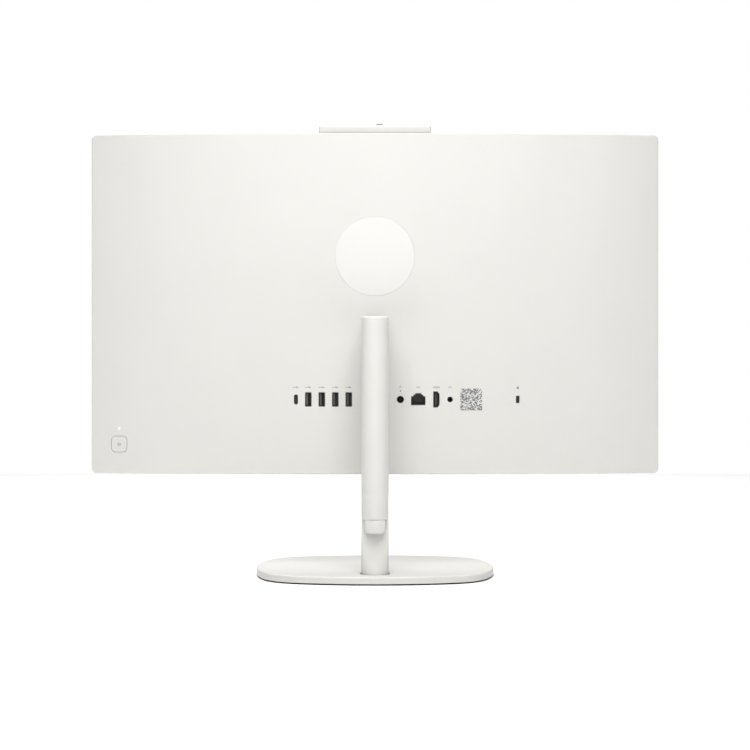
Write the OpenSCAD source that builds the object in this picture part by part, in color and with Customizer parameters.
// All-in-one desktop computer: a wide, thin screen head on a one-post stand.
// Millimetres. Z is up, the table is z = 0, and the screen faces -Y.

/* [Screen head] */
// Width of the screen head
head_w = 540.8; // [530:0.2:550]
// Height of the screen head
head_h = 322.7; // [316:0.1:330]
// Height of the head's lower edge above the table
head_lift = 95.4; // [92:0.1:100]
// Y of the head's front face
front_y = -15.5; // [-17:0.1:-15]
// Depth of the head at its side edges, from the front face to the cover's seam
edge_d = 10.5; // [10.3:0.1:11]
// Radius of the head's corners, seen from the front
head_corner_r = 5; // [4:0.5:8]
// Height of the chin below the display
chin_h = 19; // [18:0.5:20]

/* [Back cover] */
// Wall of the plastic cover
cover_wall = 2.2; // [2:0.1:2.4]
// Depth of the cover's own side wall
cover_lip = 1.6; // [1.2:0.1:2.2]
// Radius of the cover's wide middle arc, seen from above
middle_r = 3500; // [3300:50:4500]
// Half the width of the middle arc
middle_half = 200; // [195:1:202]
// Radius of the arcs from the middle arc out to the sides
side_r = 430; // [410:10:460]
// Diameter of the round badge
badge_d = 75; // [60:1:76]
// Number of air slots in each row along the cover's top and bottom
vent_count = 18; // [8:1:20]

/* [Ports] */
// Height of the row of ports above the table
port_z = 166.1; // [164:0.1:167]
// X of the first USB-A port
usb_a_x = 24.8; // [24:0.1:26]
// Spacing of the USB-A ports
usb_a_pitch = 12.77; // [12.5:0.01:13]
// X of the USB-C port
usb_c_x = 74.8; // [74:0.1:78]
// X of the power inlet
dc_x = -24; // [-25:0.1:-22]
// X of the network jack
lan_x = -40.9; // [-41.5:0.1:-40.5]
// X of the HDMI port
hdmi_x = -58.1; // [-59:0.1:-57]
// X of the headphone jack
audio_x = -71; // [-73:0.1:-70]
// X of the square information label
label_x = -91; // [-93:0.1:-90]
// X of the security lock slot
lock_x = -135.2; // [-140:0.1:-130]
// X of the power button
button_x = 243.5; // [240:0.1:245]
// Height of the power button above the table
button_z = 123.5; // [122:0.1:126]

/* [Stand] */
// Width of the base
base_w = 225; // [215:1:240]
// Depth of the base
base_d = 190; // [182:1:196]
// Radius of the base's corners, seen from above
base_corner_r = 50; // [40:1:52]
// Height of the base's top face
base_top = 7.7; // [7.4:0.1:8.2]
// Width of the neck
neck_w = 25; // [24.5:0.5:27]
// Depth of the neck
neck_d = 32; // [32:0.5:34]
// Y of the neck's rear face
neck_rear = 80; // [80:0.5:82]
// Height of the neck's top
neck_top = 243; // [242:0.5:246]
// Wall of the neck's shell
neck_wall = 2.2; // [1.8:0.1:2.4]

/* [Hinge] */
// Y of the screen's tilt axis
hinge_y = 31; // [30:0.5:31]
// Height of the screen's tilt axis
hinge_z = 231; // [230:0.5:231]
// Radius of the hinge pin
hinge_pin_r = 3; // [2.5:0.1:3.2]
// Radius of the round hinge cover
hinge_cover_r = 12.2; // [12:0.1:12.4]

/* [Camera bar] */
// Width of the camera bar
cam_w = 106.7; // [100:0.1:112]
// Depth of the camera bar
cam_d = 9.6; // [9.6:0.1:10]
// Height of the camera bar itself
cam_h = 9.1; // [9:0.1:9.6]
// Travel of the shutter slider
shutter_travel = 7; // [6.5:0.1:7]

/* [Hidden] */

$fn = 64;
big_fn = 360;       // facets of the cover's very large arcs
eps = 0.5;          // how far a cutting shape runs past a face
slip = 0.05;        // radial clearance of a pin that turns in a bore
gap = 0.1;          // gap between parts that are fitted but don't move
fit = 0.02;         // radial clearance of a pin or pipe that is fixed in a hole

shell_white = [0.95, 0.94, 0.92];
dark = [0.12, 0.12, 0.13];
steel = [0.72, 0.73, 0.75];
board_green = [0.08, 0.28, 0.16];

// ---- Head: levels in Y from the front face to the back of the cover ----
head_z0 = head_lift;
head_z1 = head_lift + head_h;
head_zc = head_lift + head_h / 2;
seam_y = front_y + edge_d;
frame_wall = 1.8;
glass_y = front_y + 0.3;
glass_d = 1.2;
backlight_y = glass_y + glass_d;
backlight_d = 3.5;
tray_y = backlight_y + backlight_d;
tray_d = 0.8;
ledge_y = tray_y + tray_d + gap;
ledge_d = 1.4;
chassis_y = front_y + 7.9;
chassis_d = 1;
chassis_back = chassis_y + chassis_d;
board_y = front_y + 11.5;
board_d = 1.6;
board_back = board_y + board_d;
chassis_top = head_z1 - 13;
chassis_bottom = head_z0 + 21;

// ---- Cover: the side arcs are tangent to the middle arc ----
join_angle = asin(middle_half / middle_r);
side_cx = middle_half - side_r * sin(join_angle);
side_drop = middle_r * (1 - cos(join_angle)) + side_r * cos(join_angle)
    - sqrt(pow(side_r, 2) - pow(head_w / 2 - side_cx, 2));
rear_y = seam_y + cover_lip + side_drop;
middle_cy = rear_y - middle_r;
side_cy = middle_cy + (middle_r - side_r) * cos(join_angle);

// Y of the cover's outer face at a given X
function cover_y(x) = abs(x) <= middle_half
    ? middle_cy + sqrt(pow(middle_r, 2) - pow(x, 2))
    : side_cy + sqrt(pow(side_r, 2) - pow(abs(x) - side_cx, 2));

// Angle by which the cover's outer face turns away from +Y at a given X
function cover_angle(x) = abs(x) <= middle_half
    ? asin(x / middle_r)
    : sign(x) * asin((abs(x) - side_cx) / side_r);

// ---- Ports ----
usb_a_xs = [for (i = [0:3]) usb_a_x + i * usb_a_pitch];
port_sink = 0.5;        // how far a port's mouth lies behind the cover's face
port_fit = 0.25;        // gap between a port's shell and its hole in the cover
shell_wall = 0.4;       // wall of a port's metal shell
usb_a_size = [5.6, 13.1];
usb_c_size = [3.2, 9.0];
lan_size = [15, 15.6];
lan_hole = [12.2, 7.2];
lan_hole_z = port_z - 1.2;
lan_steps = [[8, 1.5], [4.6, 1.4]];
hdmi_size = [5.4, 14.8];
dc_r = 2.75;
audio_r = 1.8;
audio_collar_r = 2.4;
lock_slot = [3, 7];
label_size = 20.6;
badge_z = 301.7;
led_z = button_z + 15;
dc_led_z = port_z + 8.1;

// ---- Power button ----
button_size = 15;
button_r = 4;
button_gap = 0.35;
button_travel = 0.8;
button_cap_d = 2.4;
button_flange_d = 0.8;
button_stem_d = 1;
switch_gap = 0.1;

// ---- System board, an L of a port strip and a processor wing ----
strip_x = [-92, 100];
strip_z = [152, 205];
wing_x = 30;
wing_top = 330;
board_holes = [[-86, 158], [-86, 172], [94, 158], [94, 214], [36, 289], [94, 289]];
chip_x = 62;
chip_z = 250;
chip_d = 1.2;
cold_size = 44;
cold_d = 2;
pipe_r = 3;
pipe_z = 258;
pipe_bend = 14;
pipe_y = board_back + chip_d + cold_d + pipe_r;
fan_x = -95;
fan_z = 290;
fan_size = 80;
fan_y = board_back - 0.1;
fan_d = 9.4;
fan_wall = 1;
fan_cavity_r = 37;
rotor_r = 32;
rotor_hub_r = 14;
rotor_blades = 25;
fan_axle_r = 1;
fin_z = [fan_z + fan_size / 2 + 3, fan_z + fan_size / 2 + 21];
fin_pipe_z = (fin_z[0] + fin_z[1]) / 2;
fin_count = 28;
fin_t = 0.5;

// ---- Fasteners ----
screw_r = 1.5;
screw_head_r = 2.6;
screw_head_h = 1.2;
frame_screw_in = 6.8;   // distance of the frame screws from the head's outline
frame_screws = [for (sx = [-1, 1], h = [0.12, 0.5, 0.88])
    [sx * (head_w / 2 - frame_screw_in), head_z0 + h * head_h]];
lug_plate = [48, 48];
lug_plate_d = 2;
lug_screws = [for (sx = [-1, 1], sz = [-1, 1]) [sx * 18, hinge_z + 1 + sz * 18]];
case_screw_xs = [-100, 0, 100];
case_screw_y = -1;

// ---- Hinge ----
lug_w = 9;
lug_h = 11;
ear_in = 5.5;
ear_w = 3;
ear_r = 8;
knuckle_r = 8;
hinge_end = 10.4;       // half the length of the pin with its head and nut
hinge_cover_wall = 1.8;
hinge_cover_half = 12;
hinge_cover_cap = 1.2;

// ---- Stand ----
pad_h = 1.4;
weight_h = 3.5;
weight_top = pad_h + weight_h;
base_wall = 2.2;
foot_gap = 1;           // gap round the neck where it enters the base
neck_cy = neck_rear - neck_d / 2;
neck_front = neck_rear - neck_d;
spine_w = 16;
spine_d = 12;
spine_t = 2;
spine_y = neck_front + 6.2;
spine_cy = spine_y + spine_d / 2;
spine_top = 214;
yoke_top = 238;
thumb_r = 3;
thumb_head_r = 8;
clip_bottom = 45.6;
pocket_top = 57.5;
pocket_depth = 8.2;
pocket_floor = neck_rear - pocket_depth;
pocket_run_out = 42;    // height below which the pocket's floor curves out to the neck's rear
pocket_run_out_r = 40;
clip_half = 9.5;
clip_d = 2.4;
clip_inner_r = 14;      // radius of the clip's inner face

// ---- Base outline: four corner arcs tangent to four wide arcs ----
base_a = base_w / 2;
base_b = base_d / 2;
outline_power = 2.9;    // superellipse that the arcs follow
diagonal = pow(2, -1 / outline_power);
diagonal_n = sqrt(pow(base_a, -2) + pow(base_b, -2));
corner_cx = base_a * diagonal - base_corner_r / (base_a * diagonal_n);
corner_cy = base_b * diagonal - base_corner_r / (base_b * diagonal_n);
long_r = (pow(corner_cx, 2) + pow(base_b - corner_cy, 2) - pow(base_corner_r, 2))
    / (2 * (base_b - corner_cy - base_corner_r));
short_r = (pow(corner_cy, 2) + pow(base_a - corner_cx, 2) - pow(base_corner_r, 2))
    / (2 * (base_a - corner_cx - base_corner_r));
long_share = corner_cx / (long_r - base_corner_r);
short_share = corner_cy / (short_r - base_corner_r);

// ---- Camera bar ----
cam_y = front_y + 7;
cam_z0 = head_z1 + 1.1;
cam_zc = cam_z0 + cam_h / 2;
cam_z1 = cam_z0 + cam_h;
cam_edge_r = 3.4;
cam_wall = 1.2;
cam_end_wall = 1.4;
cam_front = cam_y - cam_d / 2;
cam_pivot_y = cam_y + 1;
cam_pivot_z = head_z1 - 5.6;
cam_pin_r = 1;
cam_barrel_r = 1.9;
cam_barrel_half = 20;
cam_stem_half = 18;
cam_stem_d = 2.6;
cam_slot_half = 2.4;
cam_bracket_w = 1.5;
window_size = [64, 5.6];
window_d = 0.8;
lens_r = 2.6;
blade_d = 0.4;
blade_y = cam_front + window_d + 0.7;
blade_size = [6.4, 4.4];
knob_x = -4.4;
knob_size = [6.2, 2.4, 1.1];
knob_y = blade_y + blade_d / 2;
knob_stem = [2.4, 0.6];

// ======== Shapes that repeat ========

// Rectangle with round corners, centred
module rounded_rect(w, h, r) {
    square([w - 2 * r, h], center = true);
    square([w, h - 2 * r], center = true);
    for (sx = [-1, 1], sy = [-1, 1])
        translate([sx * (w / 2 - r), sy * (h / 2 - r)]) circle(r = r);
}

// A 2D shape drawn in XZ, standing up, and d deep along +Y
module stand_up(d) {
    translate([0, d, 0]) rotate([90, 0, 0]) linear_extrude(d) children();
}

// Rod along +Y from y = 0
module y_rod(r, l) {
    rotate([-90, 0, 0]) cylinder(r = r, h = l);
}

// Rod along X, centred
module x_rod(r, l) {
    rotate([0, 90, 0]) cylinder(r = r, h = l, center = true);
}

// Block from x to x, y to y and z to z
module block(x, y, z) {
    translate([x[0], y[0], z[0]]) cube([x[1] - x[0], y[1] - y[0], z[1] - z[0]]);
}

// Slab with the head's outline, drawn in by inset, from y and d deep
module head_slab(inset, y, d) {
    translate([0, y, head_zc])
        stand_up(d) rounded_rect(head_w - 2 * inset, head_h - 2 * inset, head_corner_r - min(inset, 3));
}

// The cover's section seen from above, drawn in by inset
module cover_section(inset) {
    half = middle_half - inset * sin(join_angle);
    lap = 5;
    side_w = head_w / 2 - half + 2 * lap;
    intersection() {
        translate([0, middle_cy]) circle(r = middle_r - inset, $fn = big_fn);
        translate([-half, seam_y - 1]) square([2 * half, side_drop + 10]);
    }
    for (side = [-1, 1])
        intersection() {
            translate([side * side_cx, side_cy]) circle(r = side_r - inset, $fn = big_fn);
            translate([side > 0 ? half - lap : -head_w / 2 - lap, seam_y - 1])
                square([side_w, side_drop + 10]);
        }
}

// Everything inside the cover's outer face, drawn in by inset
module cover_space(inset) {
    translate([0, 0, head_z0]) linear_extrude(head_h) cover_section(inset);
}

// Places children on the cover's outer face, with +Y along its outward normal
module on_cover(x, z) {
    translate([x, cover_y(x), z]) rotate([0, 0, -cover_angle(x)]) children();
}

// Places children at the cover's outer face, with +Y straight back
module at_port(x, z) {
    translate([x, cover_y(x), z]) children();
}

// Base outline drawn in by inset
module base_outline(inset) {
    for (sx = [-1, 1], sy = [-1, 1])
        translate([sx * corner_cx, sy * corner_cy]) circle(r = base_corner_r - inset, $fn = 128);
    for (s = [-1, 1]) {
        intersection() {
            translate([0, s * (base_b - long_r)]) circle(r = long_r - inset, $fn = big_fn);
            translate([0, s * base_b / 2])
                square([2 * (long_r - inset) * long_share, base_b], center = true);
        }
        intersection() {
            translate([s * (base_a - short_r), 0]) circle(r = short_r - inset, $fn = big_fn);
            translate([s * base_a / 2, 0])
                square([base_a, 2 * (short_r - inset) * short_share], center = true);
        }
    }
    square([2 * corner_cx, 2 * corner_cy], center = true);
}

// Neck section, two half rounds and the flats between them, drawn in by inset
module neck_section(inset) {
    r = neck_w / 2;
    translate([0, neck_cy]) {
        for (s = [-1, 1])
            translate([0, s * (neck_d / 2 - r)]) circle(r = r - inset);
        square([2 * (r - inset), neck_d - 2 * r], center = true);
    }
}

// Cable pocket across the neck's rear, grown by a wall: a flat floor that curves out at its lower end
module cable_pocket(grow) {
    block([-neck_w, neck_w], [pocket_floor - grow, neck_rear + 2],
        [pocket_run_out, pocket_top + grow]);
    intersection() {
        translate([0, pocket_floor + pocket_run_out_r, pocket_run_out])
            x_rod(pocket_run_out_r + grow, 2 * neck_w, $fn = big_fn);
        block([-neck_w + 1, neck_w - 1], [pocket_floor - grow - 1, neck_rear + 1], [0, pocket_run_out + 5]);
    }
}

// Screw along Y: the head's face is at y, the shank goes towards -Y
module board_screw(x, y, z, r, shank) {
    translate([x, y - screw_head_h, z]) difference() {
        y_rod(screw_head_r, screw_head_h);
        translate([0, screw_head_h - 0.6, 0]) stand_up(1) {
            square([2.4, 0.5], center = true);
            square([0.5, 2.4], center = true);
        }
    }
    translate([x, y - screw_head_h - shank, z]) y_rod(r, shank);
}

// Network jack's mouth: the plug's body and two steps for its latch
module lan_mouth(grow) {
    translate([0, lan_hole_z - port_z])
        square([lan_hole[0] + 2 * grow, lan_hole[1] + 2 * grow], center = true);
    base = lan_hole_z - port_z + lan_hole[1] / 2;
    translate([0, base + lan_steps[0][1] / 2])
        square([lan_steps[0][0] + 2 * grow, lan_steps[0][1] + 2 * grow], center = true);
    translate([0, base + lan_steps[0][1] + lan_steps[1][1] / 2])
        square([lan_steps[1][0] + 2 * grow, lan_steps[1][1] + 2 * grow], center = true);
}

// HDMI outline standing on end, with its two narrow corners towards -X
module hdmi_outline(grow) {
    w = hdmi_size[0] / 2 + grow;
    h = hdmi_size[1] / 2 + grow;
    polygon([[w, -h], [w, h], [-w / 3, h], [-w, h - 2.4], [-w, 2.4 - h], [-w / 3, -h]]);
}

// Metal shell of a port: outline given by children(0), mouth by children(1), depth of the mouth
module port_shell(x, deep) {
    back = cover_y(x) - port_sink;
    difference() {
        translate([x, board_back, port_z]) stand_up(back - board_back) children(0);
        translate([x, back - deep, port_z]) stand_up(deep + eps) children(1);
    }
}

// ======== Stand ========

module base_pad() {
    color(dark) difference() {
        linear_extrude(pad_h) base_outline(1.6);
        translate([0, spine_cy, -eps]) cylinder(r = thumb_head_r + 1, h = pad_h + 2 * eps);
    }
}

module base_weight() {
    color(steel) difference() {
        translate([0, 0, pad_h]) linear_extrude(weight_h) base_outline(4);
        translate([0, spine_cy, 0]) cylinder(r = thumb_r + 0.2, h = base_top);
        for (s = [-1, 1])
            translate([s * 30, 0, 0]) cylinder(r = screw_r + 0.1, h = base_top);
    }
}

module base_cover() {
    roof = base_top - base_wall;
    color(shell_white) difference() {
        translate([0, 0, pad_h]) linear_extrude(base_top - pad_h) base_outline(0);
        translate([0, 0, pad_h - eps]) linear_extrude(roof - pad_h + eps) base_outline(base_wall);
        translate([0, 0, roof - eps]) linear_extrude(base_wall + 2 * eps) neck_section(-foot_gap);
    }
    // Bosses that the weight is screwed to
    color(shell_white) for (s = [-1, 1])
        translate([s * 30, 0, weight_top]) difference() {
            cylinder(r = 4, h = roof - weight_top);
            translate([0, 0, -eps]) cylinder(r = screw_r, h = roof - weight_top + eps);
        }
}

module base_thumbscrew() {
    head_z = 0.3;
    head_h = 1;
    color(steel) translate([0, spine_cy, head_z]) {
        difference() {
            cylinder(r = thumb_head_r, h = head_h);
            cube([10, 1.4, 0.8], center = true);
        }
        translate([0, 0, head_h]) cylinder(r = thumb_r, h = 14);
    }
}

module neck_shell() {
    color(shell_white) difference() {
        translate([0, 0, weight_top]) linear_extrude(neck_top - weight_top) neck_section(0);
        // Inside, less the wall of the cable pocket
        difference() {
            translate([0, 0, weight_top - eps])
                linear_extrude(neck_top - weight_top - neck_wall + eps) neck_section(neck_wall);
            cable_pocket(neck_wall);
        }
        cable_pocket(0);
        // Opening for the hinge yoke
        block([-ear_in - ear_w - gap, ear_in + ear_w + gap], [neck_front - 1, neck_cy - 4],
            [hinge_z - ear_r - 0.5, hinge_z + ear_r - 0.5]);
    }
}

module neck_spine() {
    bore_z = weight_top + 12;
    color(steel) difference() {
        translate([-spine_w / 2, spine_y, weight_top]) cube([spine_w, spine_d, spine_top - weight_top]);
        translate([-spine_w / 2 + spine_t, spine_y + spine_t, bore_z + 2])
            cube([spine_w - 2 * spine_t, spine_d - 2 * spine_t, spine_top]);
        translate([0, spine_cy, weight_top - eps]) cylinder(r = thumb_r + fit, h = bore_z - weight_top);
    }
}

module cable_clip() {
    stem_z = clip_bottom + 8;
    top_z = pocket_top - gap;
    corner = 3;
    color(shell_white) {
        // Tongue that follows the neck's rear face
        intersection() {
            translate([0, 0, clip_bottom]) linear_extrude(top_z - clip_bottom) difference() {
                neck_section(0.1);
                translate([0, neck_rear - clip_d - clip_inner_r]) circle(r = clip_inner_r);
            }
            translate([0, neck_cy, 0]) stand_up(neck_d) union() {
                translate([-clip_half, clip_bottom + corner])
                    square([2 * clip_half, top_z - clip_bottom - corner]);
                translate([corner - clip_half, clip_bottom])
                    square([2 * (clip_half - corner), corner]);
                for (s = [-1, 1])
                    translate([s * (clip_half - corner), clip_bottom + corner]) circle(r = corner);
            }
        }
        // Foot that joins the tongue to the pocket's floor
        block([-5, 5], [pocket_floor, neck_rear - clip_d], [stem_z, top_z]);
    }
}

// ======== Hinge ========

module hinge_yoke() {
    block_y = [spine_y, spine_y + spine_d];
    color(steel) difference() {
        union() {
            for (s = [-1, 1])
                translate([s * (ear_in + ear_w / 2), hinge_y, hinge_z]) {
                    x_rod(ear_r, ear_w);
                    translate([-ear_w / 2, 0, -ear_r])
                        cube([ear_w, block_y[0] + 1 - hinge_y, 2 * ear_r - 1]);
                }
            block([-spine_w / 2, spine_w / 2], block_y, [spine_top, yoke_top]);
        }
        translate([0, hinge_y, hinge_z]) x_rod(hinge_pin_r + fit, 4 * ear_in + 4 * ear_w);
    }
}

module hinge_pin() {
    head = 1.8;
    color(steel) translate([0, hinge_y, hinge_z]) {
        x_rod(hinge_pin_r, 2 * hinge_end);
        translate([-hinge_end + head / 2, 0, 0]) x_rod(5, head);
    }
}

module hinge_nut() {
    nut = 1.8;
    color(steel) translate([hinge_end - nut / 2, hinge_y, hinge_z]) difference() {
        rotate([0, 90, 0]) cylinder(r = 5.4, h = nut, center = true, $fn = 6);
        x_rod(hinge_pin_r + fit, nut + 2 * eps);
    }
}

module hinge_washers() {
    thick = ear_in - lug_w / 2 - 0.1;
    color(dark) for (s = [-1, 1])
        translate([s * (ear_in - thick / 2), hinge_y, hinge_z]) difference() {
            x_rod(ear_r - 1, thick);
            x_rod(hinge_pin_r + fit, thick + 2 * eps);
        }
}

module hinge_cover() {
    inner_r = hinge_cover_r - hinge_cover_wall;
    half = hinge_cover_half;
    inner_half = half - hinge_cover_cap;
    slot_half = lug_w / 2 + 0.6;
    color(shell_white) difference() {
        union() {
            translate([0, hinge_y, hinge_z]) x_rod(hinge_cover_r, 2 * half);
            block([-half, half], [hinge_y, neck_cy - 8], [hinge_z - ear_r - 2.6, hinge_z + ear_r + 1.6]);
        }
        translate([0, hinge_y, hinge_z]) x_rod(inner_r, 2 * inner_half);
        block([-inner_half, inner_half], [hinge_y, neck_cy], [hinge_z - ear_r - 0.6, hinge_z + ear_r]);
        translate([0, 0, spine_top - 40]) linear_extrude(120) neck_section(-gap);
        // Slot in which the lug swings, from 5 degrees forward to 20 degrees back
        translate([0, hinge_y, hinge_z]) rotate([90, 0, 90])
            translate([0, 0, -slot_half]) linear_extrude(2 * slot_half)
                polygon([[0, -2], [0, 2], [-12, 17], [-30, 24], [-30, -22], [-14, -14]]);
    }
}

module hinge_lug() {
    plate_y = chassis_back;
    arm_y = plate_y + lug_plate_d;
    color(shell_white) {
        difference() {
            union() {
                translate([0, hinge_y, hinge_z]) x_rod(knuckle_r, lug_w);
                block([-lug_w / 2, lug_w / 2], [arm_y - 0.5, hinge_y], [hinge_z - lug_h / 2, hinge_z + lug_h / 2]);
                translate([0, plate_y, hinge_z + 1])
                    stand_up(lug_plate_d) rounded_rect(lug_plate[0], lug_plate[1], 4);
            }
            translate([0, hinge_y, hinge_z]) x_rod(hinge_pin_r + slip, lug_w + 2 * eps);
            for (p = lug_screws)
                translate([p[0], plate_y - eps, p[1]]) y_rod(screw_r + gap, lug_plate_d + 2 * eps);
        }
    }
}

// ======== Case ========

// Rows of air slots through a wall at z, none of them close to a screw
module cover_vents(z, low, high, screws) {
    first = 62;
    pitch = 4.6;
    clear = screw_head_r + 2.4;
    for (s = [-1, 1], i = [0:vent_count - 1])
        if (len([for (x = screws) if (abs(s * (first + i * pitch) - x) < clear) x]) == 0)
        translate([s * (first + i * pitch), 0, z]) linear_extrude(cover_wall + 2 * eps) {
            translate([-1.1, low + 1.1]) square([2.2, high - low - 2.2]);
            translate([0, low + 1.1]) circle(r = 1.1, $fn = 24);
            translate([0, high - 1.1]) circle(r = 1.1, $fn = 24);
        }
}

module speaker_slots(z) {
    for (s = [-1, 1], i = [0:13])
        translate([s * (166 + i * 4.4), -2.2, z - eps]) linear_extrude(cover_wall + 2 * eps) {
            square([1.6, 2.4], center = true);
            for (e = [-1, 1]) translate([0, e * 1.2]) circle(r = 0.8, $fn = 24);
        }
}

module back_cover() {
    color(shell_white) difference() {
        intersection() {
            cover_space(0);
            head_slab(0, seam_y, side_drop + 10);
        }
        intersection() {
            cover_space(cover_wall);
            head_slab(cover_wall, seam_y - 1, side_drop + 10);
        }
        cover_vents(head_z1 - cover_wall - eps, -2, 5, []);
        cover_vents(head_z0 - eps, -2, 5, case_screw_xs);
        speaker_slots(head_z0);
        // Badge and label recesses
        difference() {
            translate([0, rear_y - 5, badge_z]) y_rod(badge_d / 2 + 0.1, 10);
            cover_space(0.4);
        }
        difference() {
            at_port(label_x, port_z) translate([0, -2, 0]) stand_up(4)
                rounded_rect(label_size + 0.3, label_size + 0.3, 0.8);
            cover_space(0.2);
        }
        // Port holes
        for (x = usb_a_xs)
            at_port(x, port_z) translate([0, -5, 0]) stand_up(10)
                rounded_rect(usb_a_size[0] + 2 * port_fit, usb_a_size[1] + 2 * port_fit, 0.6);
        at_port(usb_c_x, port_z) translate([0, -5, 0]) stand_up(10)
            rounded_rect(usb_c_size[0] + 2 * port_fit, usb_c_size[1] + 2 * port_fit, 1.7);
        at_port(dc_x, port_z) translate([0, -5, 0]) y_rod(dc_r + shell_wall + port_fit, 10);
        at_port(lan_x, port_z) translate([0, -5, 0]) stand_up(10) lan_mouth(shell_wall + port_fit);
        at_port(hdmi_x, port_z) translate([0, -5, 0]) stand_up(10) hdmi_outline(port_fit);
        at_port(audio_x, port_z) translate([0, -5, 0]) y_rod(audio_collar_r + port_fit, 10);
        at_port(lock_x, port_z) translate([0, -5, 0]) stand_up(10)
            rounded_rect(lock_slot[0] + 0.4, lock_slot[1] + 0.4, 1);
        // Light holes
        at_port(dc_x, dc_led_z) translate([0, -5, 0]) y_rod(0.65, 10);
        on_cover(button_x, led_z) translate([0, -5, 0]) stand_up(10) rounded_rect(1.2, 2.4, 0.55);
        // Power button
        on_cover(button_x, button_z) translate([0, -5, 0]) stand_up(10)
            rounded_rect(button_size + 2 * button_gap, button_size + 2 * button_gap, button_r + button_gap);
        // Hinge lug
        translate([0, rear_y - 5, hinge_z]) stand_up(10) rounded_rect(lug_w + 1.4, lug_h + 1.4, 1);
        // Case screws
        for (x = case_screw_xs)
            translate([x, case_screw_y, head_z0 - eps]) {
                cylinder(r = screw_head_r + gap, h = eps + screw_head_h + 0.2);
                cylinder(r = screw_r + gap, h = 10);
            }
    }
}

module mid_frame() {
    color(shell_white) {
        difference() {
            head_slab(0, front_y, edge_d);
            head_slab(frame_wall, front_y - eps, edge_d + 2 * eps);
            // Slot for the camera bar's stem
            block([-cam_stem_half - 1, cam_stem_half + 1],
                [cam_pivot_y - cam_slot_half, cam_pivot_y + cam_slot_half],
                [head_z1 - frame_wall - eps, head_z1 + eps]);
        }
        // Ledge that the display and the chassis are fixed to
        difference() {
            head_slab(frame_wall, ledge_y, ledge_d);
            head_slab(10, ledge_y - eps, ledge_d + 2 * eps);
            block([-26, 26], [ledge_y - eps, ledge_y + ledge_d + eps], [head_zc, head_z1]);
            for (p = frame_screws)
                translate([p[0], ledge_y - eps, p[1]]) y_rod(screw_r, ledge_d + 2 * eps);
        }
        for (p = frame_screws)
            translate([p[0], ledge_y + ledge_d, p[1]]) difference() {
                y_rod(screw_r + 1.2, chassis_y - ledge_y - ledge_d);
                translate([0, -eps, 0]) y_rod(screw_r, 3);
            }
    }
}

module chin_cover() {
    color(shell_white) intersection() {
        head_slab(frame_wall + gap, glass_y, 2);
        block([-head_w, head_w], [front_y, 0], [head_z0, head_z0 + chin_h - gap]);
    }
}

// ======== Display ========

// Slab of the display's outline, above the chin
module display_slab(inset, y, d) {
    intersection() {
        head_slab(frame_wall + gap + inset, y, d);
        block([-head_w, head_w], [y - 1, y + d + 1], [head_z0 + chin_h + inset, head_z1]);
    }
}

module display_glass() {
    color(dark) display_slab(0, glass_y, glass_d);
}

module backlight_unit() {
    color([0.85, 0.86, 0.9]) display_slab(1.2, backlight_y, backlight_d);
}

module panel_tray() {
    color(steel) difference() {
        display_slab(0.2, backlight_y + 0.2, backlight_d + tray_d - 0.2);
        display_slab(1.1, backlight_y - eps, backlight_d + eps);
    }
}

module panel_driver_board() {
    y = tray_y + tray_d;
    z = head_z0 + 34;
    color(board_green) {
        block([-150, 150], [y, y + 0.8], [z - 7, z + 7]);
        for (x = [-110, -40, 40])
            block([x - 9, x + 9], [y + 0.8, y + 1.5], [z - 4, z + 4]);
    }
}

module chassis_plate() {
    color(steel) {
        difference() {
            intersection() {
                head_slab(3.4, chassis_y, chassis_d);
                block([-head_w, head_w], [chassis_y - 1, 0], [chassis_bottom, chassis_top]);
            }
            for (p = frame_screws)
                translate([p[0], chassis_y - eps, p[1]]) y_rod(screw_r + gap, chassis_d + 2 * eps);
            for (p = lug_screws)
                translate([p[0], chassis_y - eps, p[1]]) y_rod(screw_r, chassis_d + 2 * eps);
            // Slot for the display cable
            block([78, 102], [chassis_y - eps, chassis_back + eps], [138, 144]);
        }
        // Legs that the case screws hold
        for (x = case_screw_xs) difference() {
            union() {
                block([x - 8, x + 8], [chassis_y, chassis_back], [head_z0 + 4, chassis_bottom]);
                block([x - 8, x + 8], [chassis_back, 3], [head_z0 + 4, head_z0 + 5]);
            }
            translate([x, case_screw_y, head_z0]) cylinder(r = screw_r, h = 10);
        }
        // Stand-offs under the system board
        for (p = board_holes)
            translate([p[0], chassis_back, p[1]]) difference() {
                y_rod(2.4, board_y - chassis_back);
                translate([0, 0.6, 0]) y_rod(1.2, 5);
            }
    }
}

module chassis_screws() {
    color(steel) {
        for (p = frame_screws)
            board_screw(p[0], chassis_back + screw_head_h, p[1], screw_r, 2.8);
        for (p = lug_screws)
            board_screw(p[0], chassis_back + lug_plate_d + screw_head_h, p[1], screw_r, 3);
        for (p = board_holes)
            board_screw(p[0], board_back + screw_head_h, p[1], 1.2, 3);
    }
}

module case_screws() {
    color(steel) for (x = case_screw_xs)
        translate([x, case_screw_y, head_z0 + 0.1]) {
            difference() {
                cylinder(r = screw_head_r, h = screw_head_h);
                translate([0, 0, 0.2]) cube([2.6, 0.5, 1.2], center = true);
                translate([0, 0, 0.2]) cube([0.5, 2.6, 1.2], center = true);
            }
            translate([0, 0, screw_head_h]) cylinder(r = screw_r, h = 6);
        }
}

// ======== Electronics ========

module system_board() {
    color(board_green) difference() {
        union() {
            block(strip_x, [board_y, board_back], strip_z);
            block([wing_x, strip_x[1]], [board_y, board_back], [strip_z[1], wing_top]);
        }
        for (p = board_holes)
            translate([p[0], board_y - eps, p[1]]) y_rod(1.3, board_d + 2 * eps);
    }
}

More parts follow.
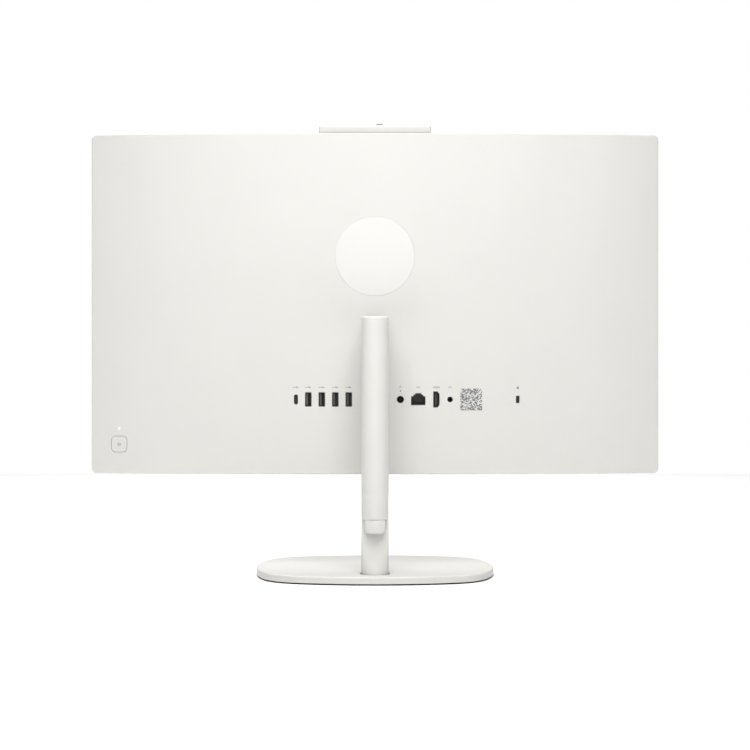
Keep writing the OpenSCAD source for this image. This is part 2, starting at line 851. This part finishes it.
module processor() {
    y = board_back;
    color(dark) translate([chip_x, y, chip_z]) {
        stand_up(chip_d / 2) rounded_rect(36, 26, 1);
        translate([0, chip_d / 2, 0]) stand_up(chip_d / 2) rounded_rect(22, 12, 0.5);
    }
}

module board_components() {
    y = board_back;
    color(dark) {
        // Power chokes beside the processor
        for (i = [0:3])
            block([90, 97], [y, y + 3.2], [228 + i * 9, 235 + i * 9]);
        // Controller chips
        block([34, 46], [y, y + 1], [180, 192]);
        block([52, 60], [y, y + 1], [182, 190]);
        // Round capacitors
        for (i = [0:2])
            translate([36 + i * 8, y, 202]) y_rod(2.6, 4.5);
    }
}

module coin_cell() {
    color(steel) translate([84, board_back, 192]) {
        difference() {
            y_rod(10, 3.2);
            translate([0, 2.9, 0]) y_rod(8.4, 1);
        }
        translate([0, 2.9, 0]) y_rod(8, 0.3);
    }
}

module cold_plate() {
    y = board_back + chip_d;
    color([0.8, 0.5, 0.35]) difference() {
        translate([chip_x, y, chip_z]) stand_up(cold_d) rounded_rect(cold_size, cold_size, 2);
        for (sx = [-1, 1], sz = [-1, 1])
            translate([chip_x + sx * 19, y - eps, chip_z + sz * 19]) y_rod(1.4, cold_d + 2 * eps);
    }
}

// Pipe: along the cold plate, up beside the fan, then along the fins
module heat_pipe() {
    start = chip_x + cold_size / 2 - 2;
    rise_x = -40;
    end = fan_x - fan_size / 2 + 3;
    color([0.8, 0.5, 0.35]) translate([0, pipe_y, 0]) {
        translate([rise_x + pipe_bend, 0, pipe_z]) rotate([0, 90, 0])
            cylinder(r = pipe_r, h = start - rise_x - pipe_bend);
        translate([rise_x + pipe_bend, 0, pipe_z + pipe_bend]) rotate([90, 0, 0])
            rotate_extrude(angle = 90, start = 180) translate([pipe_bend, 0]) circle(r = pipe_r);
        translate([rise_x, 0, pipe_z + pipe_bend])
            cylinder(r = pipe_r, h = fin_pipe_z - pipe_z - 2 * pipe_bend);
        translate([rise_x - pipe_bend, 0, fin_pipe_z - pipe_bend]) rotate([90, 0, 0])
            rotate_extrude(angle = 90, start = 0) translate([pipe_bend, 0]) circle(r = pipe_r);
        translate([end, 0, fin_pipe_z]) rotate([0, 90, 0])
            cylinder(r = pipe_r, h = rise_x - pipe_bend - end);
    }
}

module fin_stack() {
    x0 = fan_x - fan_size / 2 + 2;
    pitch = (fan_size - 4 - fin_t) / (fin_count - 1);
    color(steel) for (i = [0:fin_count - 1])
        difference() {
            block([x0 + i * pitch, x0 + i * pitch + fin_t], [fan_y, fan_y + fan_d], fin_z);
            translate([x0 + i * pitch, pipe_y, fin_pipe_z]) x_rod(pipe_r + fit, 4);
        }
}

module fan_housing() {
    half = fan_size / 2;
    inner_d = fan_d - 2 * fan_wall;
    color(dark) translate([fan_x, fan_y, fan_z]) {
        difference() {
            stand_up(fan_d) rounded_rect(fan_size, fan_size, 3);
            translate([0, fan_wall, 0]) {
                y_rod(fan_cavity_r, inner_d);
                block([-fan_cavity_r, fan_cavity_r], [0, inner_d], [0, half + eps]);
            }
            translate([0, fan_d / 2, 0]) y_rod(26, fan_d);
        }
        translate([0, fan_wall - gap, 0]) y_rod(fan_axle_r, 5);
        for (sx = [-1, 1])
            translate([sx * (half - 4), chassis_back - fan_y, 4 - half]) y_rod(3, fan_y - chassis_back);
    }
}

module fan_rotor() {
    low = fan_wall + 0.5;
    deep = fan_d - 2 * fan_wall - 1.2;
    color(dark) translate([fan_x, fan_y + low, fan_z]) difference() {
        union() {
            y_rod(rotor_hub_r, deep);
            for (i = [0:rotor_blades - 1])
                rotate([0, i * 360 / rotor_blades, 0])
                    translate([rotor_hub_r - 1, 0, 0]) rotate([0, 18, 0])
                        translate([0, 0.4, -0.4]) cube([rotor_r - rotor_hub_r - 1, deep - 0.8, 0.8]);
        }
        translate([0, -eps, 0]) y_rod(fan_axle_r + slip, eps + 5);
    }
}

module memory_modules() {
    levels = [board_back + 1.8, board_back + 6];
    color(board_green) for (y = levels) {
        block([31.2, 98.8], [y, y + 1], [296, 326]);
        for (i = [0:3])
            block([34.5 + i * 16, 45.5 + i * 16], [y + 1, y + 2], [302, 320]);
    }
}

module module_sockets() {
    color(dark) {
        block([30.5, 99.5], [board_back, board_back + 8], [292, 296]);
        block([-7.9, -3], [board_back, board_back + 5], [177, 201]);
        block([5, 29], [board_back, board_back + 3.6], [173, 175.9]);
    }
}

module ssd_module() {
    y = board_back + 2.6;
    color(board_green) {
        block([-88, -8], [y, y + 0.8], [178, 200]);
        for (i = [0:2])
            block([-82 + i * 22, -66 + i * 22], [y + 0.8, y + 2], [181, 197]);
        translate([-86, board_back, 189]) y_rod(2, 2.6);
    }
}

module wireless_card() {
    y = board_back + 2.4;
    color(board_green) {
        block([6, 28], [y, y + 0.8], [176, 204]);
        block([9, 25], [y + 0.8, y + 1.9], [184, 200]);
    }
}

module antennas() {
    top = head_z1 - cover_wall;
    color(board_green) for (s = [-1, 1])
        block([s * 175 - 20, s * 175 + 20], [-3.6, -2.8], [top - 7, top]);
}

// Flat cable from the display's driver board, through the chassis, to the system board
module display_cable() {
    x = [80, 100];
    t = 0.5;
    front = tray_y + tray_d + 0.8;
    back = chassis_back + 1.1;
    color(dark) {
        block(x, [front, front + t], [head_z0 + 34, 141]);
        block(x, [front, back + t], [141 - t, 141]);
        block(x, [back, back + t], [141 - t, 148]);
        block(x, [back, board_back + t], [148 - t, 148]);
        block(x, [board_back, board_back + t], [148 - t, 155.4]);
    }
}

module speakers() {
    z = [head_z0 + cover_wall + 0.8, head_z0 + 18];
    y = chassis_y + 0.2;
    color(dark) for (s = [-1, 1])
        difference() {
            block([s * 194 - 40, s * 194 + 40], [y, y + 8], z);
            for (i = [-1, 1])
                translate([s * 194 + i * 14, y + 4, z[0] - eps]) linear_extrude(1 + eps)
                    rounded_rect(22, 5, 2.4);
        }
}

// ======== Ports ========

module usb_c_port() {
    color(steel) port_shell(usb_c_x, 8) {
        rounded_rect(usb_c_size[0], usb_c_size[1], 1.5);
        rounded_rect(usb_c_size[0] - 2 * 0.35, usb_c_size[1] - 2 * 0.35, 1.2);
    }
}

module usb_a_ports() {
    color(steel) for (x = usb_a_xs)
        port_shell(x, 12) {
            rounded_rect(usb_a_size[0], usb_a_size[1], 0.4);
            square([usb_a_size[0] - 2 * 0.35, usb_a_size[1] - 2 * 0.35], center = true);
        }
}

// Contact tongues that stand in the USB and HDMI ports, and the power inlet's pin
module port_tongues() {
    color(dark) {
        for (x = usb_a_xs)
            translate([x + 1.2, cover_y(x) - port_sink - 12, port_z]) stand_up(11)
                square([1.8, 11.2], center = true);
        translate([usb_c_x, cover_y(usb_c_x) - port_sink - 8, port_z]) stand_up(7)
            rounded_rect(0.7, 6.4, 0.3);
        translate([hdmi_x + 0.4, cover_y(hdmi_x) - port_sink - 9, port_z]) stand_up(8)
            square([1.1, 10.6], center = true);
        translate([dc_x, cover_y(dc_x) - port_sink - 9.5, port_z]) y_rod(0.5, 8.5);
    }
}

module dc_jack() {
    mouth = cover_y(dc_x) - port_sink;
    color(dark) difference() {
        union() {
            translate([dc_x, board_back, port_z]) stand_up(9) square([9.4, 10], center = true);
            translate([dc_x, board_back, port_z]) y_rod(dc_r + shell_wall, mouth - board_back);
        }
        translate([dc_x, mouth - 9.5, port_z]) y_rod(dc_r, 9.5 + eps);
    }
}

module lan_jack() {
    back = cover_y(lan_x) - cover_wall - 0.3;
    mouth = cover_y(lan_x) - port_sink;
    color(steel) difference() {
        union() {
            translate([lan_x, board_back, port_z]) stand_up(back - board_back)
                square(lan_size, center = true);
            translate([lan_x, back - 0.1, port_z]) stand_up(mouth - back + 0.1) lan_mouth(shell_wall);
        }
        translate([lan_x, mouth - 11.5, port_z]) stand_up(11.5 + eps) lan_mouth(0);
    }
}

module hdmi_port() {
    color(steel) port_shell(hdmi_x, 9) {
        hdmi_outline(0);
        hdmi_outline(-shell_wall);
    }
}

module audio_jack() {
    mouth = cover_y(audio_x) - port_sink;
    color(dark) difference() {
        union() {
            translate([audio_x, board_back, port_z]) stand_up(10) square([6, 8], center = true);
            translate([audio_x, board_back, port_z]) y_rod(audio_collar_r, mouth - board_back);
        }
        translate([audio_x, mouth - 12, port_z]) y_rod(audio_r, 12 + eps);
    }
}

module lock_insert() {
    back = cover_y(lock_x) - cover_wall - 0.35;
    color(steel) difference() {
        translate([lock_x, back - 1.4, port_z]) stand_up(1.4) rounded_rect(10, 16, 2);
        translate([lock_x, back - 1.4 - eps, port_z]) stand_up(1.4 + 2 * eps)
            rounded_rect(lock_slot[0], lock_slot[1], 0.8);
    }
}

// ======== Marks and lights ========

module badge_disc() {
    color([0.97, 0.97, 0.96]) intersection() {
        translate([0, rear_y - 5, badge_z]) y_rod(badge_d / 2, 10);
        difference() {
            cover_space(-0.15);
            cover_space(0.4);
        }
    }
}

module label_plate() {
    color([0.8, 0.8, 0.78]) intersection() {
        at_port(label_x, port_z) translate([0, -2, 0]) stand_up(4)
            rounded_rect(label_size, label_size, 0.6);
        difference() {
            cover_space(-0.05);
            cover_space(0.2);
        }
    }
}

module status_lights() {
    color([0.95, 0.97, 1]) {
        on_cover(button_x, led_z) translate([0, -5.4, 0]) stand_up(5.4) rounded_rect(1, 2.2, 0.45);
        at_port(dc_x, dc_led_z) translate([0, -4, 0]) y_rod(0.6, 4);
    }
}

module power_button() {
    flange = button_size + 2.4;
    color(shell_white) on_cover(button_x, button_z) {
        translate([0, -button_cap_d, 0]) stand_up(button_cap_d)
            rounded_rect(button_size, button_size, button_r);
        translate([0, -button_cap_d - button_flange_d, 0]) stand_up(button_flange_d)
            rounded_rect(flange, flange, button_r);
        translate([0, -button_cap_d - button_flange_d - button_stem_d, 0])
            y_rod(2, button_stem_d);
    }
}

module power_button_board() {
    plunger = button_cap_d + button_flange_d + button_stem_d + button_travel + switch_gap;
    face = plunger + 0.7;
    posts = 11.5;
    color(board_green) on_cover(button_x, button_z) {
        translate([0, -face - 0.8, 0]) stand_up(0.8) rounded_rect(12, 34, 1);
        translate([0, -face, 0]) y_rod(1.6, 0.7);
        for (s = [-1, 1])
            translate([0, -face, s * posts]) y_rod(1.4, face - cover_wall - gap);
    }
}

// ======== Camera ========

// Camera bar's end section, drawn in by inset, as a solid half wide each way
module cam_bar(inset, half) {
    translate([-half, cam_y, cam_zc]) rotate([90, 0, 90]) linear_extrude(2 * half)
        rounded_rect(cam_d - 2 * inset, cam_h - 2 * inset, cam_edge_r - inset);
}

module camera_bracket() {
    inner = cam_barrel_half + 0.4;
    outer = inner + cam_bracket_w;
    color(steel) {
        for (s = [-1, 1])
            translate([s * (inner + cam_bracket_w / 2), cam_pivot_y, cam_pivot_z]) difference() {
                union() {
                    x_rod(cam_barrel_r, cam_bracket_w);
                    block([-cam_bracket_w / 2, cam_bracket_w / 2], [-1, 1.6], [-6, 0]);
                }
                x_rod(cam_pin_r + fit, cam_bracket_w + 2 * eps);
            }
        block([-outer, outer], [cam_pivot_y - 1, cam_pivot_y + 1.6],
            [cam_pivot_z - 7, cam_pivot_z - 6]);
        block([-outer, outer], [chassis_back, cam_pivot_y + 1.6], [chassis_top - 12, cam_pivot_z - 7]);
    }
}

module camera_pivot_pin() {
    color(steel) translate([0, cam_pivot_y, cam_pivot_z])
        x_rod(cam_pin_r, 2 * (cam_barrel_half + cam_bracket_w + 1));
}

module camera_housing() {
    inner_half = cam_w / 2 - cam_end_wall;
    slot_low = knob_x - knob_stem[0] / 2 - 0.3;
    slot_high = knob_x + shutter_travel + knob_stem[0] / 2 + 0.3;
    color(shell_white) {
        difference() {
            cam_bar(0, cam_w / 2);
            cam_bar(cam_wall, inner_half);
            // Window and shutter slots
            translate([0, cam_front - eps, cam_zc]) stand_up(cam_wall + 2 * eps)
                rounded_rect(window_size[0] + 2 * gap, window_size[1] + 2 * gap, 2.4);
            block([slot_low, slot_high],
                [knob_y - knob_stem[1] / 2 - 0.2, knob_y + knob_stem[1] / 2 + 0.2], [cam_zc, cam_z1 + 1]);
        }
        difference() {
            union() {
                block([-cam_stem_half, cam_stem_half],
                    [cam_pivot_y - cam_stem_d / 2, cam_pivot_y + cam_stem_d / 2],
                    [cam_pivot_z, cam_z0 + 0.6]);
                translate([0, cam_pivot_y, cam_pivot_z]) x_rod(cam_barrel_r, 2 * cam_barrel_half);
            }
            translate([0, cam_pivot_y, cam_pivot_z])
                x_rod(cam_pin_r + slip, 2 * cam_barrel_half + 2 * eps);
        }
    }
}

module camera_window() {
    color(dark) translate([0, cam_front + 0.05, cam_zc])
        stand_up(window_d) rounded_rect(window_size[0], window_size[1], 2.3);
}

module camera_board() {
    y = cam_front + 6;
    color(board_green) {
        block([-46, 46], [y, y + 0.8], [cam_zc - 2.8, cam_zc + 2.8]);
        for (s = [-1, 1])
            block([s * 28 - 2, s * 28 + 2], [y - 1, y], [cam_zc - 1.5, cam_zc + 1.5]);
    }
}

module camera_lens() {
    front = blade_y + blade_d + 0.4;
    color(dark) translate([0, front, cam_zc]) difference() {
        y_rod(lens_r, cam_front + 6 - front);
        translate([0, -eps, 0]) y_rod(lens_r - 1, eps + 0.8);
    }
}

module shutter_slider() {
    stem_z = cam_z1 + 0.15;
    color(dark) {
        translate([-shutter_travel, blade_y, cam_zc]) stand_up(blade_d)
            square(blade_size, center = true);
        block([knob_x - knob_stem[0] / 2, knob_x + knob_stem[0] / 2],
            [knob_y - knob_stem[1] / 2, knob_y + knob_stem[1] / 2], [cam_zc + 1, stem_z + 0.1]);
        translate([knob_x, knob_y, stem_z]) linear_extrude(knob_size[2])
            rounded_rect(knob_size[0], knob_size[1], 1.1);
    }
}

base_pad();
base_weight();
base_cover();
base_thumbscrew();
neck_shell();
neck_spine();
cable_clip();
hinge_yoke();
hinge_pin();
hinge_nut();
hinge_washers();
hinge_cover();
hinge_lug();
back_cover();
mid_frame();
chin_cover();
display_glass();
backlight_unit();
panel_tray();
panel_driver_board();
chassis_plate();
chassis_screws();
case_screws();
system_board();
processor();
board_components();
coin_cell();
cold_plate();
heat_pipe();
fin_stack();
fan_housing();
fan_rotor();
memory_modules();
module_sockets();
ssd_module();
wireless_card();
antennas();
display_cable();
speakers();
usb_c_port();
usb_a_ports();
port_tongues();
dc_jack();
lan_jack();
hdmi_port();
audio_jack();
lock_insert();
badge_disc();
label_plate();
status_lights();
power_button();
power_button_board();
camera_bracket();
camera_pivot_pin();
camera_housing();
camera_window();
camera_board();
camera_lens();
shutter_slider();
